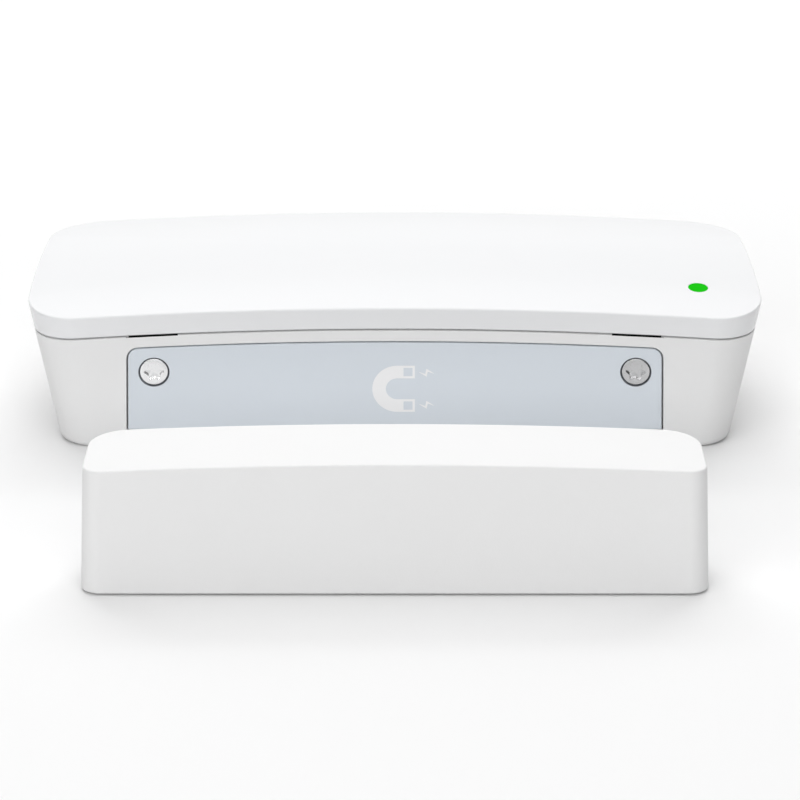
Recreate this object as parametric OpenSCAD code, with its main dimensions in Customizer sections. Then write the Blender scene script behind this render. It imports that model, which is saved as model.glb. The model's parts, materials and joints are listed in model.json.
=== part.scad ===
// Wireless door contact sensor: a sensor unit with a press-on top cover and its magnet unit.
// Millimetres, +Z up. The origin is the middle of the sensor unit's mounting face, +X runs along
// the unit towards its status light, and the magnet unit stands on the -Y side.

/* [Sensor unit] */
// Length of the top face at the front
top_l = 110.7; // [106:0.1:116]
// Length of the mounting face at the front
foot_l = 100.4; // [96:0.1:104]
// How much shorter the back of the unit is than the front
back_taper = 6; // [2:0.2:9]
// Depth of the mounting face
foot_d = 33; // [32:0.5:36]
// How far the back leans outwards from foot to top
back_lean = 5.7; // [2:0.1:7]
// Height of the top face at the middle of the front edge
front_h = 22.6; // [22:0.1:24]
// Radius of the arch along the length of the top face
arch_r = 720; // [600:10:900]
// Radius of the crown from the front to the back of the top face
crown_r = 121; // [110:1:200]
// Wall thickness of the housing and the cover
wall = 2; // [1.6:0.1:2.2]

/* [Top cover] */
// Height of the cover's rim at its edge, above the seam
rim_h = 3.55; // [2.8:0.05:4]
// Width of the seam between the cover and the housing
seam_gap = 0.28; // [0.1:0.02:0.5]
// Depth of the lip that locates the cover inside the housing
lip_d = 2.6; // [2:0.1:4]
// Diameter of the status light
light_d = 3; // [2:0.1:4]

/* [Front plate] */
// Width of the front plate
plate_w = 80.2; // [76:0.2:82]
// Thickness of the front plate
plate_t = 2; // [1.8:0.1:2.2]
// Width of the gap round the front plate
plate_gap = 0.25; // [0.15:0.05:0.5]
// Distance between the two plate screws
screw_span = 72.4; // [66:0.2:74]
// Height of the plate screws above the mounting face
screw_z = 12.3; // [11.5:0.1:12.5]

/* [Magnet unit] */
// Length of the magnet unit
magnet_l = 93.4; // [90:0.1:98]
// Depth of the magnet unit
magnet_d = 16.2; // [15:0.1:20]
// Height of the magnet unit at its middle
magnet_h = 21.1; // [20:0.1:23]
// Radius of the arch along the magnet unit's top
magnet_arch_r = 887; // [700:1:1200]
// Wall thickness of the magnet unit
magnet_wall = 1.6; // [1.4:0.1:1.8]
// Gap between the two units with the door ajar
door_gap = 41.3; // [20:0.1:45]

/* [Battery] */
// Diameter of the lithium cell
cell_d = 17; // [16.5:0.1:17]
// Length of the lithium cell with its cap
cell_l = 34.5; // [33:0.1:34.5]

/* [Hidden] */

// Small shared sizes
clear = 0.02;             // clearance of parts that are fixed in each other
play = 0.15;              // clearance of moulded parts that slide into each other
eps = 0.01;               // thickness of the slices that a drafted body is stretched between
over = 1;                 // how far a cutting tool reaches past what it cuts
fn_hull = 32;             // fineness of the corners of drafted bodies
fn_round = 64;            // fineness of small round features
fn_arch = 256;            // fineness of the large arches

// Sensor unit, derived
slice_h = 22;             // height at which the top outline is measured
block_h = 25;             // height of the drafted body before the crown trims it
front_y = -foot_d / 2;
corner_front = [5, 7];    // plan radius of the front corners at the foot and at the top
corner_back = [7, 9];     // plan radius of the back corners at the foot and at the top
crown_y = 2.5;            // where the crown is highest, from front to back
crown_z = front_h + pow(crown_y - front_y, 2) / (2 * crown_r);
front_wall = plate_t + 1.6;
seam_z = front_h - rim_h; // height of the seam at its middle
floor_t = 2;
foot_edge = 0.6;          // chamfer round the housing's lower edge
lip_t = 1.2;              // thickness of the lip under the cover

// Seam slots for prying the cover off
ledge_in = 0.8;           // how deep the seam's shadow groove is
slot_w = 7.4;
slot_h = 0.05;            // how far a slot's mouth is cut down below the seam
slot_deep = 1.2;          // how far the slot falls away behind its mouth
slot_x = 36.3;

// Front plate
plate_low = 3;            // height of the plate's lower edge
plate_rise = 1.95;        // distance from the seam down to the plate's upper edge
plate_corner = 1.6;
head_d = 4.3;
head_h = 1.2;
sink_d = 4.7;
sink_h = 1.3;
thread_d = 2.6;
thread_l = 7.5;
screw_lobe = 1.6;         // radius of the six-lobe recess in a plate screw
boss_d = 6.2;
boss_l = 8;
boss_in = 0.5;            // how far a boss starts inside the wall that it stands on

// Pictogram on the front plate
symbol_x = -0.2;
symbol_z = 9.6;
symbol_l = 6.4;
symbol_h = 7.5;
symbol_arm = 2.05;
symbol_pole = 1.35;
symbol_t = 0.12;
flash_x = 1.75;           // from the horseshoe's open end to the middle of the flashes
flash_z = 2.6;            // from the horseshoe's middle up or down to a flash
inlay_gap = 0.005;

// Circuit board
board_z = 4.6;
board_t = 1.2;
board_top = board_z + board_t;
board_y = [-12.3, -1.2];  // front and back edge of the long strip
board_x = [-24, 47];      // ends of the long strip
wing_x = [14.5, 37.6];    // ends of the wider part
wing_y = 13;              // back edge of the wider part
board_screw_at = [[-20, -4], [40, -4], [18, 10]];
board_screw_d = 2;
board_head_d = 3.8;
board_head_h = 1.1;
board_thread_l = 3.6;
post_d = 4.4;
post_hole_z = 1.2;        // bottom of the screw holes in the board's posts

// Status light
light_x = 45.6;
light_y = -7.2;
led_h = 0.7;
pipe_low = board_top + led_h + 0.4;
pipe_boss_low = 17;
pipe_boss_d = 5.4;
collar_d = 4.6;
collar_h = 1;

// Reed switch
reed_y = -10.2;
reed_z = board_top + 1.5;
reed_r = 1.1;
reed_bore_r = 0.85;
reed_l = 14;
seal_l = 2;
lead_d = 0.5;
lead_x = 9;               // where the leads turn down to the board
blade_t = 0.2;
blade_w = 0.9;
blade_gap = 0.2;
blade_lap = 0.6;
blade_hinge_x = 4.6;

// Switches and parts on the board
pair_at = [31, 8];
tamper_at = [21, 3];
switch_w = 6;
switch_h = 3.5;
switch_cap_d = 3.4;
pair_cap_h = 1.6;
tamper_cap_h = 2.4;
tamper_post_d = 4;
shield_at = [29, -6.6];
shield_size = [12, 8.6, 2.2];
shield_t = 0.25;
antenna_at = [7.6, -3.8];

// Mounting holes in the sensor unit's floor
mount_x = 42.2;
mount_y = 8;
mount_d = 4.2;
mount_boss_d = 9;
mount_boss_h = 3.4;
mount_sink = 1.6;

// Battery
cell_x = -25;             // negative end of the cell
cell_y = 7.9;
cell_z = floor_t + 0.4 + cell_d / 2;
cap_d = 6.5;
cap_l = 1;
wrap_t = 0.15;
spring_l = 3.4;
contact_w = 11;
contact_h = 10.6;
contact_foot = 0.6;       // gap between a contact's tail and the floor
contact_t = 0.4;
saddle_t = 1.6;
saddle_w = 14;
saddle_x = [4, 6];        // from the cell's ends to its two saddles
saddle_drop = 2.6;        // from the cell's axis down to a saddle's upper edge
stop_t = 1.4;
stop_w = 10;
stop_drop = 2;
stop_gap = 0.1;

// Magnet unit
magnet_front_y = front_y - door_gap - magnet_d;
magnet_back_y = magnet_front_y + magnet_d;
magnet_mid_y = (magnet_front_y + magnet_back_y) / 2;
magnet_draft = 0.012;     // how much the ends lean inwards per millimetre of height
magnet_taper = 0.7;       // how much further in each end stands at the back
magnet_corner = [2.8, 6]; // plan radius of the front and back corners
magnet_foot_z = 0.3;      // the housing's lower edge clears the wall
magnet_base_t = 2.2;
magnet_mount_x = 32;
magnet_mount_d = 3.6;
magnet_sink = 1.2;
post_size = [1.6, 6, 10]; // the two posts on the base that guide the housing
post_end = 4.6;           // from the housing's inner face to the far side of a post
bar_size = [40, 8, 12];
bar_z = 5;
bar_gap = [0.2, 0.05];    // clearance of the bar at its ends and at the back wall
foam_gap = 0.1;
rib_t = 1.2;

// Adhesive pads
pad_t = 0.8;
pad_x = 22;
pad_size = [26, 22];
magnet_pad_x = 14;
magnet_pad_size = [20, 8.6];

function mix(range, z) = range[0] + (range[1] - range[0]) * z / slice_h;
function arch_at(x, r) = r - sqrt(r * r - x * x);

// One thin slice of a housing: four corner discs whose hull is the outline at that height
module slice(z, half_front, half_back, y_low, y_high, r_front, r_back) {
  for (side = [-1, 1]) {
    translate([side * (half_front - r_front), y_low + r_front, z])
      cylinder(h = eps, r = r_front, $fn = fn_hull);
    translate([side * (half_back - r_back), y_high - r_back, z])
      cylinder(h = eps, r = r_back, $fn = fn_hull);
  }
}

// The sensor unit's outline at height z, moved in by inset and by front_in at the front
module sensor_slice(z, inset, front_in) {
  half = mix([foot_l / 2, top_l / 2], z) - inset;
  y_high = mix([foot_d / 2, foot_d / 2 + back_lean], z) - inset;
  slice(z, half, half - back_taper / 2, front_y + front_in, y_high,
        max(mix(corner_front, z) - inset, 1), max(mix(corner_back, z) - inset, 1));
}

// The drafted body of the sensor unit between two heights
module sensor_block(low, high, inset = 0, front_in = 0) {
  hull() {
    sensor_slice(low, inset, front_in);
    sensor_slice(high - eps, inset, front_in);
  }
}

// Everything under the crowned top, lowered by drop
module under_crown(drop) {
  translate([0, crown_y, crown_z - drop - arch_r])
    rotate([90, 0, 0])
      rotate_extrude($fn = fn_arch)
        translate([arch_r - crown_r, 0])
          rotate(180) circle(r = crown_r, $fn = fn_arch);
}

// Everything under an arch along X whose highest line is at height top
module under_arch(top, r) {
  translate([0, 0, top - r])
    rotate([90, 0, 0])
      cylinder(h = 300, r = r, center = true, $fn = fn_arch);
}

// A cylinder along X from the point given
module rod_x(h, d) {
  rotate([0, 90, 0]) cylinder(h = h, d = d, $fn = fn_round);
}

// A cylinder that starts at the point given and runs back along Y
module rod_y(h, d) {
  rotate([-90, 0, 0]) cylinder(h = h, d = d, $fn = fn_round);
}

// Mirrored copies on both sides of the middle
module both_sides() {
  for (side = [-1, 1])
    scale([side, 1, 1]) children();
}

// A tube swept along points, with ring_sides sides
module wire(points, d, ring_sides = 10) {
  n = len(points);
  steps = [for (i = [0 : n - 1]) points[min(i + 1, n - 1)] - points[max(i - 1, 0)]];
  rings = [
    for (i = [0 : n - 1])
      let (t = steps[i] / norm(steps[i]), u = cross(t, [0.02, 0.03, 1]))
        let (a = u / norm(u), b = cross(t, a))
          for (k = [0 : ring_sides - 1])
            points[i] + d / 2 * (a * cos(360 * k / ring_sides) + b * sin(360 * k / ring_sides))
  ];
  sides = [
    for (i = [0 : n - 2], k = [0 : ring_sides - 1])
      let (m = (k + 1) % ring_sides)
        each [[i * ring_sides + k, i * ring_sides + m, (i + 1) * ring_sides + k],
              [i * ring_sides + m, (i + 1) * ring_sides + m, (i + 1) * ring_sides + k]]
  ];
  ends = [
    [for (k = [ring_sides - 1 : -1 : 0]) k],
    [for (k = [0 : ring_sides - 1]) (n - 1) * ring_sides + k]
  ];
  polyhedron(points = rings, faces = concat(sides, ends), convexity = 10);
}

// An adhesive pad whose lower face is the mounting face
module pad(x, y, size) {
  translate([x - size[0] / 2, y - size[1] / 2, 0]) cube([size[0], size[1], pad_t]);
}

// The pocket that a pad sits in, cut from below
module pad_pocket(x, y, size) {
  translate([x - size[0] / 2 - play, y - size[1] / 2 - play, -over])
    cube([size[0] + 2 * play, size[1] + 2 * play, pad_t + over]);
}

// --- Sensor unit -----------------------------------------------------------------------------

// The front plate's outline seen from the front, grown all round by grow
module plate_outline(grow) {
  half = plate_w / 2 + grow;
  r = plate_corner + grow;
  rise = seam_z - plate_rise + grow;
  shoulder = rise - arch_at(half - r, arch_r) - r;
  intersection() {
    translate([-half + r, plate_low - grow]) square([2 * (half - r), block_h]);
    translate([0, rise - arch_r]) circle(r = arch_r, $fn = fn_arch);
  }
  translate([-half, plate_low - grow]) square([2 * half, shoulder - plate_low + grow]);
  for (side = [-1, 1])
    translate([side * (half - r), shoulder]) circle(r = r, $fn = fn_round);
}

module base_housing() {
  color("whitesmoke")
  difference() {
    union() {
      difference() {
        union() {
          intersection() {
            housing_block();
            under_arch(seam_z, arch_r);
          }
          intersection() {
            sensor_block(floor_t, block_h, ledge_in, ledge_in);
            under_arch(seam_z + seam_gap - clear, arch_r);
          }
        }
        sensor_block(floor_t, block_h + over, wall, front_wall);
      }
      housing_bosses();
    }
    translate([0, front_y + plate_t, 0])
      rotate([90, 0, 0])
        linear_extrude(plate_t + over) plate_outline(plate_gap);
    both_sides() {
      translate([screw_span / 2, front_y, screw_z]) rod_y(plate_t + thread_l, thread_d + 2 * clear);
      translate([mount_x, mount_y, -over])
        cylinder(h = mount_boss_h + 2 * over, d = mount_d, $fn = fn_round);
      translate([mount_x, mount_y, mount_boss_h - mount_sink])
        cylinder(h = mount_sink + eps, d1 = mount_d, d2 = mount_d + 2 * mount_sink, $fn = fn_round);
      pry_slot();
      pad_pocket(pad_x, 0, pad_size);
    }
    for (at = board_screw_at)
      translate([at[0], at[1], post_hole_z])
        cylinder(h = board_z, d = board_screw_d + 2 * clear, $fn = fn_round);
    translate([cell_x - over, cell_y, cell_z]) rod_x(cell_l + cap_l, cell_d + 2 * (wrap_t + clear));
  }
}

// The drafted body of the housing with its chamfered lower edge
module housing_block() {
  hull() {
    sensor_slice(0, foot_edge, foot_edge);
    sensor_slice(foot_edge, 0, 0);
    sensor_slice(block_h - eps, 0, 0);
  }
}

// What stands up inside the housing: bosses, posts, and the battery's saddles and end stops
module housing_bosses() {
  both_sides() {
    translate([screw_span / 2, front_y + front_wall - boss_in, screw_z]) rod_y(boss_l, boss_d);
    translate([mount_x, mount_y, 0]) cylinder(h = mount_boss_h, d = mount_boss_d, $fn = fn_round);
  }
  for (at = board_screw_at)
    translate([at[0], at[1], 0]) cylinder(h = board_z, d = post_d, $fn = fn_round);
  for (x = [cell_x + saddle_x[0], cell_x + cell_l - saddle_x[1]])
    translate([x, cell_y - saddle_w / 2, 0]) cube([saddle_t, saddle_w, cell_z - saddle_drop]);
  for (x = [cell_x - spring_l - contact_t - stop_gap - stop_t, cell_x + cell_l + contact_t + stop_gap])
    translate([x, cell_y - stop_w / 2, 0]) cube([stop_t, stop_w, cell_z - stop_drop]);
}

// The cutter for one pry slot: its mouth follows the seam and its floor falls away behind the face
module pry_slot() {
  far = front_wall + over;
  translate([slot_x, front_y, seam_z - arch_at(slot_x, arch_r) - slot_h])
    rotate([0, asin(slot_x / arch_r), 0])
      rotate([90, 0, 90])
        linear_extrude(slot_w, center = true)
          polygon([[-over, 0], [0, 0], [slot_deep, -slot_deep], [far, -slot_deep],
                   [far, over], [-over, over]]);
}

module top_cover() {
  color("white")
  difference() {
    union() {
      difference() {
        union() {
          cover_skin();
          cover_lip();
        }
        intersection() {
          sensor_block(floor_t, block_h + over, wall + play + lip_t, front_wall + play + lip_t);
          under_crown(wall);
        }
      }
      light_boss();
      tamper_post();
    }
    translate([light_x, light_y, pipe_boss_low - over])
      cylinder(h = block_h, d = light_d + 2 * clear, $fn = fn_round);
  }
}

// The part of the cover above the seam, still solid
module cover_skin() {
  difference() {
    intersection() {
      sensor_block(0, block_h);
      under_crown(0);
    }
    under_arch(seam_z + seam_gap, arch_r);
  }
}

// The lip under the cover that drops inside the housing, still solid
module cover_lip() {
  difference() {
    intersection() {
      sensor_block(floor_t, block_h, wall + play, front_wall + play);
      under_arch(seam_z + seam_gap + play, arch_r);
    }
    under_arch(seam_z - lip_d, arch_r);
  }
}

// The boss that holds the light pipe
module light_boss() {
  intersection() {
    translate([light_x, light_y, pipe_boss_low]) cylinder(h = block_h, d = pipe_boss_d, $fn = fn_round);
    under_crown(wall / 2);
  }
}

// The post that presses the tamper switch while the cover is on
module tamper_post() {
  post_low = board_top + switch_h + tamper_cap_h + clear;
  intersection() {
    translate([tamper_at[0], tamper_at[1], post_low])
      cylinder(h = block_h, d = tamper_post_d, $fn = fn_round);
    under_crown(wall / 2);
  }
}

module light_pipe() {
  color("limegreen")
  intersection() {
    union() {
      translate([light_x, light_y, pipe_low]) cylinder(h = block_h, d = light_d, $fn = fn_round);
      translate([light_x, light_y, pipe_boss_low - collar_h])
        cylinder(h = collar_h, d = collar_d, $fn = fn_round);
    }
    under_crown(0);
  }
}

module front_plate() {
  color("lightsteelblue")
  difference() {
    translate([0, front_y + plate_t, 0])
      rotate([90, 0, 0])
        linear_extrude(plate_t) plate_outline(0);
    both_sides() translate([screw_span / 2, front_y - over, screw_z]) {
      rod_y(sink_h + over, sink_d);
      rod_y(plate_t + 2 * over, thread_d + 2 * clear);
    }
    translate([0, front_y + symbol_t, 0])
      rotate([90, 0, 0])
        linear_extrude(symbol_t + over) symbol_outline(inlay_gap);
  }
}

// One screw with a six-lobe recess of radius lobe in its head, along +Y from the head's face
module lobe_screw(head, height, thread, length, lobe) {
  tip_l = 1;
  deep = over + height * 0.7;
  lobe_r = lobe * 0.28;
  difference() {
    union() {
      rod_y(height, head);
      translate([0, height, 0]) rod_y(length - tip_l, thread);
      translate([0, height + length - tip_l, 0])
        rotate([-90, 0, 0]) cylinder(h = tip_l, d1 = thread, d2 = thread / 2, $fn = fn_round);
    }
    translate([0, -over, 0]) {
      rod_y(deep, 2 * (lobe - lobe_r) * 0.9);
      for (turn = [0 : 60 : 300])
        rotate([0, turn, 0]) translate([lobe - lobe_r, 0, 0]) rod_y(deep, 2 * lobe_r);
    }
  }
}

module plate_screws() {
  color("silver")
  both_sides()
    translate([screw_span / 2, front_y + sink_h - head_h, screw_z])
      lobe_screw(head_d, head_h, thread_d, thread_l - sink_h, screw_lobe);
}

// The printed magnet sign seen from the front: a horseshoe, its two poles and two flashes
module symbol_outline(grow = 0) {
  bow = symbol_h / 2;
  inner = bow - symbol_arm;
  frame = (symbol_arm - symbol_pole) / 2;
  translate([symbol_x - symbol_l / 2 + bow, symbol_z]) {
    difference() {
      union() {
        circle(r = bow + grow, $fn = fn_round);
        translate([0, -bow - grow]) square([symbol_l - bow + grow, symbol_h + 2 * grow]);
      }
      translate([symbol_l - bow + grow, -symbol_h]) square(2 * symbol_h);
      circle(r = inner - grow, $fn = fn_round);
      translate([0, -inner + grow]) square([symbol_l, 2 * inner - 2 * grow]);
      for (side = [-1, 1])
        translate([symbol_l - bow - frame - symbol_pole / 2, side * (inner + symbol_arm / 2)])
          square(symbol_pole - 2 * grow, center = true);
    }
    for (side = [-1, 1])
      translate([symbol_l - bow + flash_x, side * flash_z]) flash_outline(grow);
  }
}

// A small lightning flash
module flash_outline(grow) {
  tip = [1.1 + grow, 0.14 + grow];
  bend = [0.18 + grow, 0.2 + grow];
  peak = [0.02 + grow, 0.65 + grow];
  low = 0.08 - grow;
  half = [[-tip[0], tip[1]], [-bend[0], 2 * grow - bend[1]], [-peak[0], peak[1]], [tip[0], -low]];
  polygon(concat(half, [for (p = half) -p]));
}

module magnet_symbol() {
  color("gainsboro")
  translate([0, front_y + symbol_t, 0])
    rotate([90, 0, 0])
      linear_extrude(symbol_t) symbol_outline();
}

module circuit_board() {
  r = 2;
  long = board_x[1] - board_x[0];
  deep = board_y[1] - board_y[0];
  through = board_t + 2 * over;
  color("darkgreen")
  difference() {
    translate([0, 0, board_z]) linear_extrude(board_t) {
      translate([board_x[0], board_y[0]]) square([long - r, deep]);
      translate([board_x[0], board_y[0] + r]) square([long, deep - r]);
      translate([board_x[1] - r, board_y[0] + r]) circle(r = r, $fn = fn_round);
      translate([wing_x[0], board_y[0]]) square([wing_x[1] - wing_x[0], wing_y - board_y[0]]);
    }
    for (at = board_screw_at)
      translate([at[0], at[1], board_z - over])
        cylinder(h = through, d = board_screw_d + 0.4, $fn = fn_round);
    for (side = [-1, 1])
      translate([side * lead_x, reed_y, board_z - over])
        cylinder(h = through, d = lead_d + 2 * clear, $fn = fn_round);
  }
}

module board_screws() {
  color("dimgray")
  for (at = board_screw_at)
    translate([at[0], at[1], board_top + board_head_h])
      rotate([-90, 0, 0])
        lobe_screw(board_head_d, board_head_h, board_screw_d, board_thread_l, board_screw_d / 2);
}

module reed_glass() {
  color("lightgreen", 0.5)
  translate([0, reed_y, reed_z])
  difference() {
    translate([-reed_l / 2, 0, 0]) rod_x(reed_l, 2 * reed_r);
    translate([-reed_l / 2 + seal_l, 0, 0]) rod_x(reed_l - 2 * seal_l, 2 * reed_bore_r);
    translate([-reed_l, 0, 0]) rod_x(2 * reed_l, lead_d + 2 * clear);
  }
}

// A round lead from inside the glass to the board
module reed_lead(inner_x) {
  tail = 0.6;
  translate([inner_x, reed_y, reed_z]) rod_x(lead_x - inner_x, lead_d);
  translate([lead_x, reed_y, board_z - tail])
    cylinder(h = reed_z - board_z + tail, d = lead_d, $fn = fn_round);
  translate([lead_x, reed_y, reed_z]) sphere(d = lead_d, $fn = fn_round);
}

// The lead whose flat end is the fixed blade
module reed_lead_fixed() {
  color("silver") {
    scale([-1, 1, 1]) reed_lead(reed_l / 2 - seal_l - 0.3);
    translate([-reed_l / 2 + seal_l + 0.2, reed_y - blade_w / 2, reed_z - blade_gap / 2 - blade_t])
      cube([reed_l / 2 - seal_l - 0.2 + blade_lap, blade_w, blade_t]);
  }
}

module reed_lead_free() {
  color("silver") reed_lead(reed_l / 2 - seal_l - 0.2);
}

// The springy blade that the magnet pulls onto the fixed one
module reed_blade() {
  color("silver")
  translate([0, reed_y - blade_w / 2, reed_z + blade_gap / 2]) {
    translate([-blade_lap, 0, 0]) cube([blade_hinge_x + blade_lap, blade_w, blade_t]);
    translate([blade_hinge_x, 0, blade_t / 2]) rod_y(blade_w, blade_t);
  }
}

module controller_chip() {
  color("black")
  translate([-6, -5.2, board_top]) {
    translate([-2.5, -2.5, 0.1]) cube([5, 5, 0.9]);
    for (turn = [0 : 90 : 270])
      rotate(turn)
        for (i = [-3 : 3])
          translate([i * 0.65 - 0.15, 2.3, 0]) cube([0.3, 0.9, 0.22]);
  }
}

module chip_capacitors() {
  near_chip = [[-13, -3], [-13, -5], [-13, -6.4], [1, -3.4], [1, -6.6]];
  near_radio = [[13, -8], [14.5, -10], [39, -10], [39, -8]];
  color("tan")
  for (at = concat(near_chip, near_radio))
    translate([at[0] - 0.8, at[1] - 0.4, board_top]) cube([1.6, 0.8, 0.75]);
}

module crystal() {
  color("silver")
  translate([-14.5, -9.4, board_top]) {
    translate([-1.6, 0, 0]) cube([3.2, 2.2, 1]);
    translate([-1.6, 1.1, 0]) cylinder(h = 1, d = 2.2, $fn = fn_round);
    translate([1.6, 1.1, 0]) cylinder(h = 1, d = 2.2, $fn = fn_round);
  }
}

// A pressed can over the radio, open underneath
module radio_shield() {
  color("silver")
  translate([shield_at[0], shield_at[1], board_top])
  difference() {
    translate([0, 0, shield_size[2] / 2])
      cube(shield_size, center = true);
    translate([0, 0, shield_size[2] / 2 - shield_t])
      cube([shield_size[0] - 2 * shield_t, shield_size[1] - 2 * shield_t, shield_size[2]], center = true);
    for (i = [-1 : 1], j = [-1, 1])
      translate([i * 3.2, j * 1.8, 0]) cylinder(h = 5, d = 0.9, $fn = fn_round);
  }
}

// The radio's spring antenna: a leg that rises from the board into a close coil above it
module antenna() {
  turns = 7;
  pitch = 1.1;
  coil_r = 1.7;
  per_turn = 14;
  coil_z = board_top + coil_r + 0.7;
  leg_y = antenna_at[1] - coil_r;
  color("goldenrod")
  wire(concat(
    [for (z = [board_top : 0.6 : coil_z - 0.5]) [antenna_at[0], leg_y, z]],
    [for (i = [0 : turns * per_turn])
      let (a = 180 - 360 * i / per_turn)
        [antenna_at[0] + pitch * i / per_turn, antenna_at[1] + coil_r * cos(a), coil_z + coil_r * sin(a)]]
  ), 0.5, 8);
}

module status_led() {
  color("ivory")
  translate([light_x, light_y, board_top]) {
    translate([-0.8, -0.6, 0]) cube([1.6, 1.2, 0.3]);
    translate([-0.55, -0.55, 0.3]) cube([1.1, 1.1, led_h - 0.3]);
  }
}

// The square body of a push switch, with the bore that its cap slides in
module switch_body(at, bore_deep) {
  translate([at[0], at[1], board_top])
  difference() {
    translate([-switch_w / 2, -switch_w / 2, 0]) cube([switch_w, switch_w, switch_h]);
    translate([0, 0, switch_h - bore_deep])
      cylinder(h = bore_deep + over, d = switch_cap_d + 0.1, $fn = fn_round);
  }
}

module pair_button_body() {
  color("dimgray") switch_body(pair_at, 1.2);
}

module pair_button_cap() {
  color("white")
  translate([pair_at[0], pair_at[1], board_top + switch_h - 0.8])
    cylinder(h = 0.8 + pair_cap_h, d = switch_cap_d, $fn = fn_round);
}

module tamper_body() {
  color("dimgray") switch_body(tamper_at, 2);
}

module tamper_plunger() {
  color("firebrick")
  translate([tamper_at[0], tamper_at[1], board_top + switch_h - 1.9])
    cylinder(h = 1.9 + tamper_cap_h, d = switch_cap_d, $fn = fn_round);
}

module battery_cell() {
  color("silver")
  translate([cell_x, cell_y, cell_z]) {
    rod_x(cell_l - cap_l, cell_d - 2 * wrap_t);
    rod_x(cell_l, cap_d);
  }
}

module battery_wrap() {
  color("royalblue")
  translate([cell_x, cell_y, cell_z])
  difference() {
    translate([0.2, 0, 0]) rod_x(cell_l - cap_l - 0.4, cell_d);
    translate([-over, 0, 0]) rod_x(cell_l + 2 * over, cell_d - 2 * wrap_t);
  }
}

// A flat battery contact with a tail that reaches down to the floor
module contact_plate(x) {
  tail_w = 3;
  plate_z = cell_z - contact_h / 2;
  translate([x, cell_y - contact_w / 2, plate_z]) cube([contact_t, contact_w, contact_h]);
  translate([x, cell_y - tail_w / 2, floor_t + contact_foot])
    cube([contact_t, tail_w, plate_z - floor_t]);
}

module battery_contact() {
  color("silver") contact_plate(cell_x + cell_l);
}

module battery_spring_plate() {
  color("silver") contact_plate(cell_x - spring_l - contact_t);
}

// The cone spring that presses on the cell's negative end
module battery_spring() {
  turns = 3;
  per_turn = 18;
  wire_d = 0.8;
  travel = spring_l - wire_d;
  color("silver")
  wire([for (i = [0 : turns * per_turn])
    let (a = 360 * i / per_turn, f = i / (turns * per_turn), r = 4.6 - 2.2 * f)
      [cell_x - spring_l + wire_d / 2 + travel * f, cell_y + r * cos(a), cell_z + r * sin(a)]
  ], wire_d, 8);
}

module sensor_pads() {
  color("lightgray") both_sides() pad(pad_x, 0, pad_size);
}

// --- Magnet unit -----------------------------------------------------------------------------

// The magnet unit's outline at height z, moved in by inset
module magnet_slice(z, inset) {
  half = magnet_l / 2 - magnet_draft * z - inset;
  slice(z, half, half - magnet_taper, magnet_front_y + inset, magnet_back_y - inset,
        max(magnet_corner[0] - inset, 1), magnet_corner[1] - inset);
}

module magnet_block(low, high, inset = 0) {
  hull() {
    magnet_slice(low, inset);
    magnet_slice(high - eps, inset);
  }
}

module magnet_housing() {
  pocket = bar_size[0] / 2 + bar_gap[0];
  color("white")
  difference() {
    intersection() {
      magnet_block(magnet_foot_z, block_h);
      under_arch(magnet_h, magnet_arch_r);
    }
    difference() {
      intersection() {
        magnet_block(magnet_foot_z - over, block_h, magnet_wall);
        under_arch(magnet_h - magnet_wall, magnet_arch_r);
      }
      both_sides()
        translate([pocket, magnet_front_y, bar_z]) cube([rib_t, magnet_d, block_h]);
      translate([-pocket, magnet_front_y, bar_z + bar_size[2]]) cube([2 * pocket, magnet_d, block_h]);
    }
  }
}

module magnet_base() {
  color("whitesmoke")
  difference() {
    union() {
      magnet_block(0, magnet_base_t, magnet_wall + play);
      both_sides()
        translate([magnet_l / 2 - magnet_wall - post_end, magnet_mid_y - post_size[1] / 2, 0])
          cube(post_size);
    }
    both_sides() {
      translate([magnet_mount_x, magnet_mid_y, -over])
        cylinder(h = magnet_base_t + 2 * over, d = magnet_mount_d, $fn = fn_round);
      translate([magnet_mount_x, magnet_mid_y, magnet_base_t - magnet_sink])
        cylinder(h = magnet_sink + eps, d1 = magnet_mount_d, d2 = magnet_mount_d + 2 * magnet_sink,
                 $fn = fn_round);
      pad_pocket(magnet_pad_x, magnet_mid_y, magnet_pad_size);
    }
  }
}

module bar_magnet() {
  color("silver")
  translate([-bar_size[0] / 2, magnet_back_y - magnet_wall - bar_size[1] - bar_gap[1], bar_z])
    cube(bar_size);
}

// The foam strip that presses the bar magnet against the wall on the sensor's side
module magnet_foam() {
  foam_t = magnet_d - 2 * magnet_wall - bar_size[1] - 2 * foam_gap;
  color("dimgray")
  translate([-bar_size[0] / 2, magnet_front_y + magnet_wall + foam_gap, bar_z + foam_gap])
    cube([bar_size[0], foam_t, bar_size[2] - 2 * foam_gap]);
}

module magnet_pads() {
  color("lightgray") both_sides() pad(magnet_pad_x, magnet_mid_y, magnet_pad_size);
}

base_housing();
top_cover();
light_pipe();
front_plate();
plate_screws();
magnet_symbol();
circuit_board();
board_screws();
reed_glass();
reed_lead_fixed();
reed_lead_free();
reed_blade();
controller_chip();
chip_capacitors();
crystal();
radio_shield();
antenna();
status_led();
pair_button_body();
pair_button_cap();
tamper_body();
tamper_plunger();
battery_cell();
battery_wrap();
battery_contact();
battery_spring_plate();
battery_spring();
sensor_pads();
magnet_housing();
magnet_base();
bar_magnet();
magnet_foam();
magnet_pads();
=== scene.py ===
"""Looks of a wireless door contact sensor: a sensor unit and its magnet unit on a pale studio floor."""

import json
import math

import bmesh
import bpy
from mathutils import Matrix, Vector


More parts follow.
